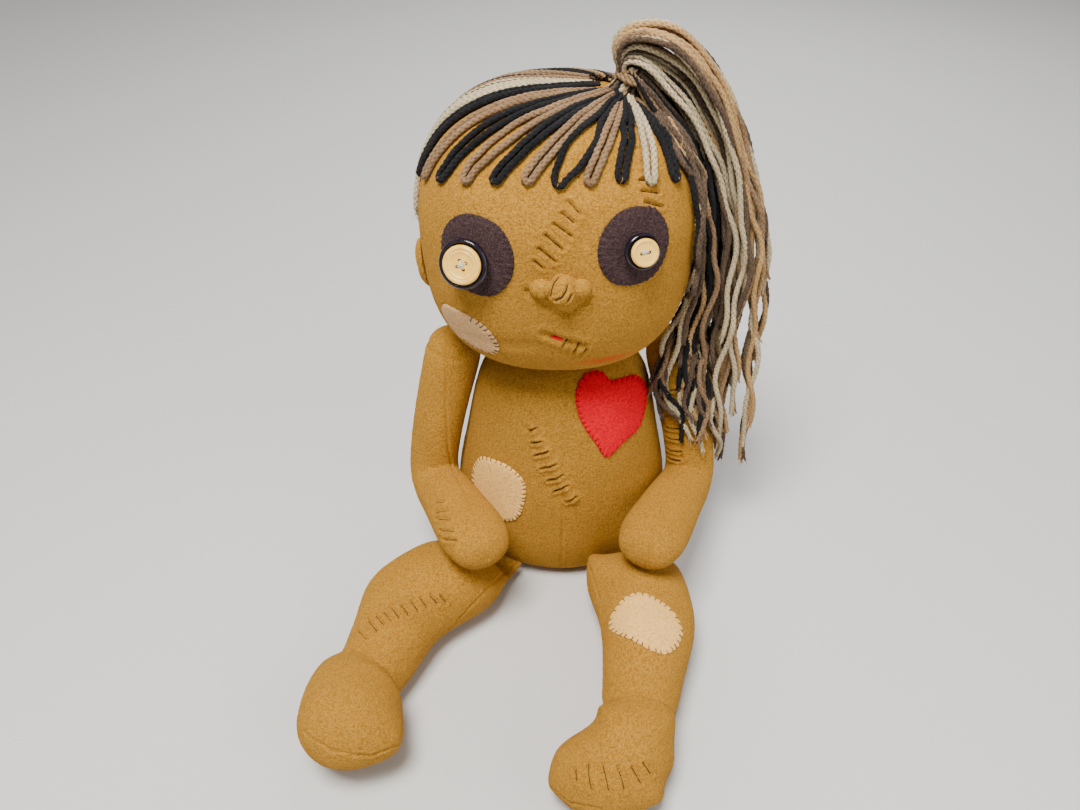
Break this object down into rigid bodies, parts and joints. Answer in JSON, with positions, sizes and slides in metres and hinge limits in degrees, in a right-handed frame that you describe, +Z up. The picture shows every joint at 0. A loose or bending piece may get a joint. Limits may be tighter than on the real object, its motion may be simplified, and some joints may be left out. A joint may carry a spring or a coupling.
{
  "type": "rag doll",
  "caption": "Seated stuffed felt doll with hinged limbs, stacked button eyes, felt patches and a yarn ponytail.",
  "frame": {"origin": "middle of the flat seat under the torso, on the surface it sits on", "axes": "+Z up, the doll looks along -Y, its own left side is at +X"},
  "size_m": [0.2421, 0.2704, 0.3164],
  "materials": {
    "mustard_felt": "woollen felt, brushed",
    "purple_felt": "woollen felt",
    "tan_felt": "woollen felt",
    "red_felt": "woollen felt",
    "black_plastic": "polished",
    "cream_plastic": "polished",
    "black_yarn": "plied yarn",
    "cream_yarn": "plied yarn",
    "brown_yarn": "plied yarn",
    "tan_yarn": "plied yarn"
  },
  "bodies": {
    "arm_left": {"arm_left": "mustard_felt"},
    "arm_right": {"arm_right": "mustard_felt"},
    "head": {"back_hair": "brown_yarn", "black_button_left": "black_plastic", "black_button_right": "black_plastic", "cheek_patch": "tan_felt", "cream_button_left": "cream_plastic", "cream_button_right": "cream_plastic", "ear_left": "mustard_felt", "ear_right": "mustard_felt", "eye_patch_left": "purple_felt", "eye_patch_right": "purple_felt", "fringe_loop_01": "cream_yarn", "fringe_loop_02": "black_yarn", "fringe_loop_03": "tan_yarn", "fringe_loop_04": "black_yarn", "fringe_loop_05": "tan_yarn", "fringe_loop_06": "black_yarn", "fringe_loop_07": "tan_yarn", "fringe_loop_08": "black_yarn", "fringe_loop_09": "tan_yarn", "fringe_loop_10": "black_yarn", "fringe_loop_11": "cream_yarn", "fringe_loop_12": "black_yarn", "fringe_loop_13": "tan_yarn", "hair_knot": "black_yarn", "hair_tie": "tan_yarn", "head": "mustard_felt", "mouth": "red_felt", "nose": "mustard_felt"},
    "torso": {"belly_patch": "tan_felt", "heart_patch": "red_felt", "torso": "mustard_felt"},
    "leg_left": {"foot_left": "mustard_felt", "knee_patch": "tan_felt", "leg_left": "mustard_felt"},
    "leg_right": {"foot_right": "mustard_felt", "leg_right": "mustard_felt"},
    "neck": {"neck": "mustard_felt"},
    "ponytail": {"ponytail_back_inner": "cream_yarn", "ponytail_back_outer": "black_yarn", "ponytail_front_inner": "cream_yarn", "ponytail_front_outer": "black_yarn", "ponytail_middle_inner": "tan_yarn", "ponytail_middle_outer": "brown_yarn"}
  },
  "joints": [
    {"name": "head_nod", "type": "hinge", "parent": "torso", "child": "neck", "pos_m": [0, 0, 0.146], "axis": [-1, 0, 0], "range_deg": [-12, 12]},
    {"name": "head_turn", "type": "hinge", "parent": "neck", "child": "head", "pos_m": [0, 0, 0.146], "axis": [0, 0, 1], "range_deg": [-25, 25]},
    {"name": "ponytail_lift", "type": "hinge", "parent": "head", "child": "ponytail", "pos_m": [0.03126, 0, 0.3063], "axis": [0, -1, 0], "range_deg": [0, 100]},
    {"name": "shoulder_right", "type": "hinge", "parent": "torso", "child": "arm_right", "pos_m": [-0.06123, 0.004, 0.138], "axis": [-1, 0, 0], "range_deg": [0, 70]},
    {"name": "shoulder_left", "type": "hinge", "parent": "torso", "child": "arm_left", "pos_m": [0.06123, 0.004, 0.138], "axis": [-1, 0, 0], "range_deg": [0, 70]},
    {"name": "hip_right", "type": "hinge", "parent": "torso", "child": "leg_right", "pos_m": [-0.044, -0.0308, 0.012], "axis": [0.848, -0.5299, 0], "range_deg": [0, 90]},
    {"name": "hip_left", "type": "hinge", "parent": "torso", "child": "leg_left", "pos_m": [0.044, -0.0308, 0.012], "axis": [0.9986, -0.0523, 0], "range_deg": [0, 90]}
  ]
}
